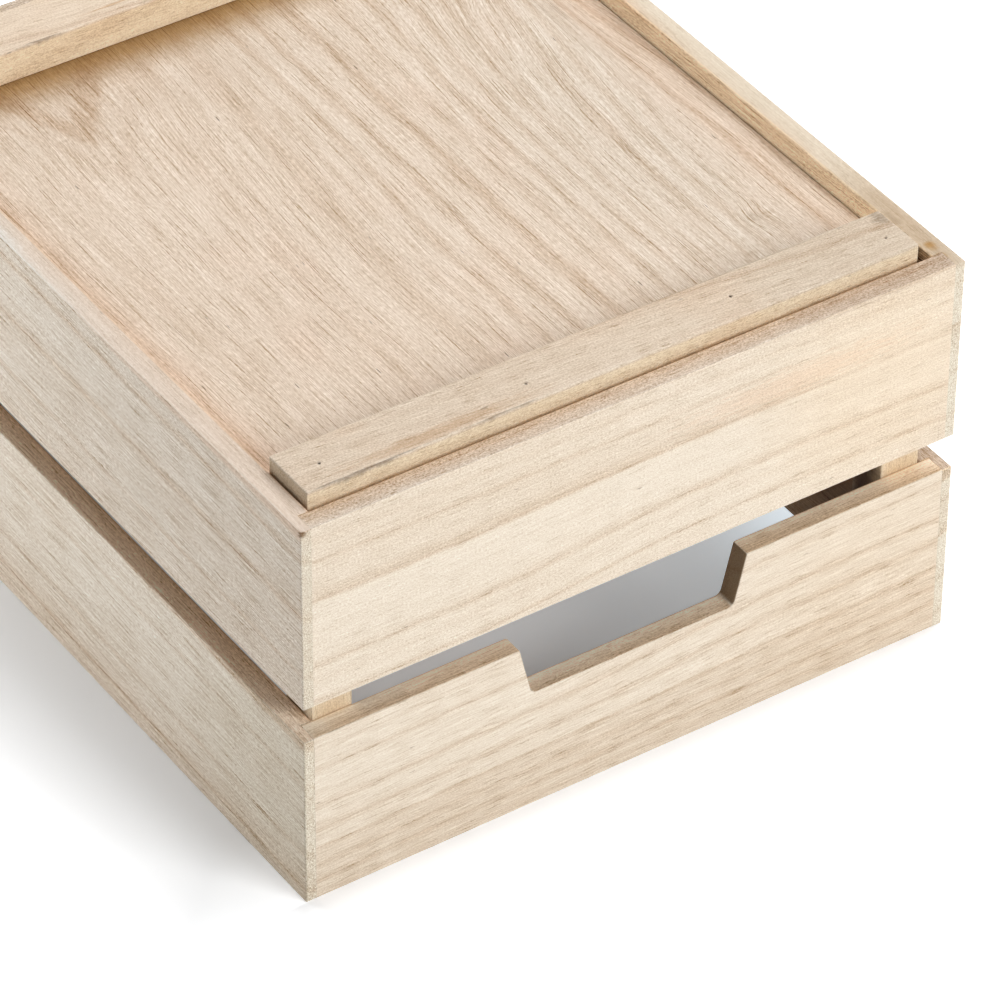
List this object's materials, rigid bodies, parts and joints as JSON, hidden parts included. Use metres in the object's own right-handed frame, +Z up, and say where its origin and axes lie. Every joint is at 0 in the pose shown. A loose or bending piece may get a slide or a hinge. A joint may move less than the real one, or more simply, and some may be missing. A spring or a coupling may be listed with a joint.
{
  "type": "wooden storage box",
  "caption": "Open wooden crate with slatted walls, hand holes, a recessed base panel and stacking runners, standing upside down on its open rim.",
  "frame": {"origin": "middle of the footprint, on the surface that the open rim stands on", "axes": "+Z up from the open rim to the base panel and runners, +Y from front to back, +X from left to right as seen from the front"},
  "size_m": [0.3, 0.35, 0.186],
  "materials": {
    "wall_board": "planed pale wood, unfinished",
    "corner_post": "sawn pale wood, unfinished",
    "base_panel": "rotary-cut veneer, sanded, unfinished",
    "runner": "sanded top and sawn sides, unfinished",
    "nail": "dull bare steel"
  },
  "bodies": {
    "root": {"front_base_board": "wall_board", "front_rim_board": "wall_board", "back_base_board": "wall_board", "back_rim_board": "wall_board", "left_base_board": "wall_board", "left_rim_board": "wall_board", "right_base_board": "wall_board", "right_rim_board": "wall_board", "corner_post_front_left": "corner_post", "corner_post_front_right": "corner_post", "corner_post_back_left": "corner_post", "corner_post_back_right": "corner_post", "base_panel": "base_panel", "front_runner": "runner", "back_runner": "runner", "post_nails": "nail", "panel_nails": "nail"}
  },
  "joints": []
}
